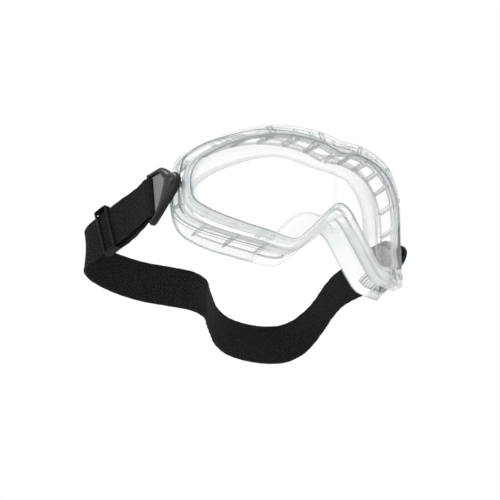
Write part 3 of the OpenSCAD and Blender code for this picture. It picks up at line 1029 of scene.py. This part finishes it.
returnPath = [[-84.3, 45.4, -0.6], [-84.2, 49.5, -1.6], [-84.2, 54.5, -3.4],
              [-84.2, 61.5, -5.6], [-84.4, 69.5, -7.2], [-84.9, 77.3, -7.9]]
endPath = [[84.4, 45.4, 0], [84.3, 49.5, 0], [84.4, 56.5, 0.1], [84.4, 66.5, 0.1]]


def clothBand(path, s, perSpan=8, turn=None, thick=None):
    # a flat section with a fuller cord along each edge, carried along the path with its width as
    # upright as the path lets it be; the edges ripple by ripple * sin(2 pi length / pitch)
    line = openPath(path, perSpan)
    t = unit(np.gradient(line, axis=0))
    lean = np.radians(pivot["droop"]) * np.clip((50 - line[:, 1]) / 8, 0, 1)
    up = np.stack([0 * lean, np.sin(lean), np.cos(lean)], -1) if turn is None else turn + 0 * line
    up = unit(up - (up * t).sum(1, keepdims=True) * t)
    out = np.cross(t, up)
    travel = np.concatenate([[0], np.cumsum(np.linalg.norm(np.diff(line, axis=0), axis=1))])
    half = s["width"] / 2
    a = np.concatenate([[-half, -half + 0.15, -half + 0.5, -half + 1.1, -half + 1.7],
                        np.linspace(-half + 3, half - 3, 7),
                        [half - 1.7, half - 1.1, half - 0.5, half - 0.15, half]])
    rim = np.clip((np.abs(a) - half + 0.6) / 0.6, 0, 1)
    h = (thick or s["thick"]) / 2 * np.sqrt(1 - rim**2 * 0.96)
    h = h + s["cord"] * np.exp(-(((np.abs(a) - half + 0.9) / 0.5) ** 2))
    a2 = np.concatenate([a, a[-2:0:-1]])
    h2 = np.concatenate([h, -h[-2:0:-1]])
    wave = np.sin(travel * 2 * np.pi / s["ripplePitch"]) * s["ripple"]
    wave = wave[:, None] * (np.abs(a2) / half)[None, :] ** 3
    grid = line[:, None] + up[:, None] * a2[None, :, None]
    grid = grid + out[:, None] * (h2[None, :] + wave)[..., None]
    uv = np.stack([np.broadcast_to(travel[:, None], wave.shape),
                   np.broadcast_to(a2[None, :], wave.shape)], -1).reshape(-1, 2) * mm
    return grid * mm, uv, travel[-1]


def makeCloth(name, path, body, nodes, turn=None, thick=None, perSpan=8):
    # one band of elastic, as long as its path, whose length is printed
    grid, uv, length = clothBand(path, strapLook, perSpan, turn, thick)
    piece = makePiece(name, [gridShape(grid, wrapRows=False)], elastic, body, nodes,
                      uv=uv, smooth=60)
    round(length * mm, 4)
    print("elastic", name, "length mm", round(length, 1))
    return piece


makeCloth("headStrap", strapPath, strapBody, ["head_strap"])
strapReturn = makeCloth("strapReturn", returnPath, None, ["left_strap_return"])
makeCloth("strapEnd", endPath, strapBody, ["right_strap_end"])

# slider, in its own frame: X across the strap, Y along it, Z up its width
along = unit(runEnd - runMid)
across = unit(np.array([along[1], -along[0], 0.0]))
upward = np.cross(across, along)
sliderAt = runMid + along * 20
sliderLook = {"height": 30.0, "barRadius": 0.8, "barOut": 2.05, "pitch": 3.9, "cap": 0.9}


def sliderPlace(p):
    # sliderAt + x across + y along + z upward
    return (sliderAt + p[..., :1] * across + p[..., 1:2] * along + p[..., 2:] * upward) * mm


def makeSlider(s):
    # three rods with a rounded section, and a rounded end plate across them at each end
    shapes = []
    a = np.arange(20) / 20 * 2 * np.pi
    z = np.linspace(-1, 1, 9) * (s["height"] / 2 - 0.3)
    for x, y in ((-s["barOut"], -s["pitch"]), (s["barOut"], 0), (-s["barOut"], s["pitch"])):
        ring = np.stack([x + s["barRadius"] * np.cos(a), y + s["barRadius"] * np.sin(a)], -1)
        grid = np.concatenate([np.broadcast_to(ring, (9, 20, 2)),
                               np.broadcast_to(z[:, None, None], (9, 20, 1))], -1)
        shapes.append(gridShape(sliderPlace(grid), wrapRows=False))
    wide, long = s["barOut"] + s["barRadius"], s["pitch"] + s["barRadius"]
    b = np.arange(40) / 40 * 2 * np.pi
    box = np.stack([np.sign(np.cos(b)) * np.abs(np.cos(b)) ** 0.45 * wide,
                    np.sign(np.sin(b)) * np.abs(np.sin(b)) ** 0.45 * long], -1)
    share = np.array([0.1, 0.6, 0.9, 0.97, 1.0, 1.0, 0.97, 0.9, 0.6, 0.1])
    lift = np.array([1, 1, 0.97, 0.9, 0.7, 0.3, 0.1, 0.03, 0, 0]) * s["cap"]
    for end in (-1, 1):
        height = end * (s["height"] / 2 - s["cap"] + lift)
        grid = np.concatenate([box[None] * share[:, None, None],
                               np.broadcast_to(height[:, None, None], (10, 40, 1))], -1)
        shapes.append(gridShape(sliderPlace(grid), wrapRows=False, poles=True))
    return makePiece("strapSlider", shapes, satinBlack, sliderBody, ["slider"])


makeSlider(sliderLook)
foldPath = np.array([[3.1, -8.0, 0], [3.2, -5.5, 0], [3.4, -3.0, 0], [3.85, -0.8, 0],
                     [3.7, 1.1, 0], [2.7, 1.95, 0], [1.85, 1.7, 0]])
makeCloth("sliderFold", sliderPlace(foldPath) / mm, sliderBody, ["slider_fold"],
          turn=upward, thick=1.2, perSpan=5)
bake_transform(strapReturn)


# sewing
def stitchRow(start, step, count, lie, radius):
    # short thick threads, each a rod along lie, spaced by step
    line = np.linspace(-0.5, 0.5, 5)[:, None] * lie
    return [tubeAlong((start + step * k + line) * mm, radius * mm, 6) for k in range(count)]


sewing = {"pitch": 1.9, "length": 1.35, "radius": 0.28, "endRows": (56.0, 60.0, 64.0),
          "endCount": 10, "foldRows": (-6.6, -4.2), "foldCount": 12}
rows = []
for y in sewing["endRows"]:
    rows += stitchRow(np.array([83.6, y, -9.0]), np.array([0, 0, sewing["pitch"]]),
                      sewing["endCount"], np.array([0.0, 0.35, sewing["length"]]),
                      sewing["radius"])
makePiece("endSewing", rows, thread, strapBody, ["right_strap_stitching"])
seam = []
for y in sewing["foldRows"]:
    first = sliderPlace(np.array([3.85, y, -10.5])) / mm
    seam += stitchRow(first, upward * sewing["pitch"], sewing["foldCount"],
                      upward * sewing["length"] + along * 0.3, sewing["radius"])
makePiece("foldSewing", seam, thread, sliderBody, ["slider_stitching"])
print("strap made")

# studio
studio = {"floorZ": -0.62, "floorHalf": 8.0, "sky": 1.0, "around": 0.92, "above": 1.2,
          "cardAway": (0.788, 0.616), "cardSharp": 28.0, "cardDeep": 0.75}


def makeStage(s):
    # a flat even grid, floorHalf to each side of the middle, at the floor's height
    n = 3
    xs = np.linspace(-1, 1, n) * s["floorHalf"]
    grid = np.stack([*np.meshgrid(xs, xs, indexing="ij"), np.full((n, n), s["floorZ"])], -1)
    mesh = bpy.data.meshes.new("studioFloor")
    points, faces, _ = gridShape(grid, False, False)
    mesh.from_pydata(points.tolist(), [], faces)
    f = Finish("paleFloor")
    grain = f.noise(3.0)
    colour = f.blendColour(grain, (0.94, 0.94, 0.94), (0.97, 0.97, 0.97))
    mesh.materials.append(f.surface(f.put("ShaderNodeBsdfPrincipled", {},
                                          {"Base Color": colour, "Roughness": 0.8})))
    floor = bpy.data.objects.new("studioFloor", mesh)
    bpy.context.scene.collection.objects.link(floor)


makeStage(studio)


def makeSky(s):
    # plain white behind the object; for reflections a softer room with a bright ceiling and one
    # upright dark card, as deep as 1 - sharp * distance from the card's plane
    world = bpy.data.worlds.new("studioSky")
    bpy.context.scene.world = world
    f = Finish("studioSky", world)
    direction = f.put("ShaderNodeTexCoord", {}, {}, "Generated")
    x, y, height = (f.put("ShaderNodeSeparateXYZ", {}, {0: direction}, k) for k in range(3))
    room = (height * 0.5 + 0.5) ** 1.5 * (s["above"] - s["around"]) + s["around"]
    away = (x * s["cardAway"][0] + y * s["cardAway"][1]).absolute() * s["cardSharp"]
    room = room * (1 - ((1.4 - away).clamped() * (x > 0)) * s["cardDeep"])
    seen = f.put("ShaderNodeLightPath", {}, {}, "Is Camera Ray")
    strength = seen * s["sky"] + (1 - seen) * room
    f.surface(f.put("ShaderNodeBackground", {}, {"Color": (1, 1, 1, 1), "Strength": strength}),
              "ShaderNodeOutputWorld")


makeSky(studio)
lamps = [
    ("ceilingSoftbox", (-0.3, -0.3, 1.0), (0.9, 0.9), 3.0),
    ("leftSoftbox", (-1.1, -0.2, 0.5), (0.2, 0.7), 1.5),
    ("rightStrip", (0.9, -0.9, 0.2), (0.1, 0.7), 0.8),
    ("clipLamp", (-0.62, 0.5, 0.52), (0.12, 0.12), 0.9),
]
for name, place, size, power in lamps:
    data = bpy.data.lights.new(name, "AREA")
    data.shape, data.size, data.size_y, data.energy = "RECTANGLE", size[0], size[1], power
    lamp = bpy.data.objects.new(name, data)
    lamp.location = place
    lamp.rotation_euler = (-Vector(place)).to_track_quat("-Z", "Y").to_euler()
    bpy.context.scene.collection.objects.link(lamp)
bpy.context.scene.view_settings.view_transform = "Standard"
bpy.context.scene.cycles.transparent_max_bounces = 64
print("studio made")
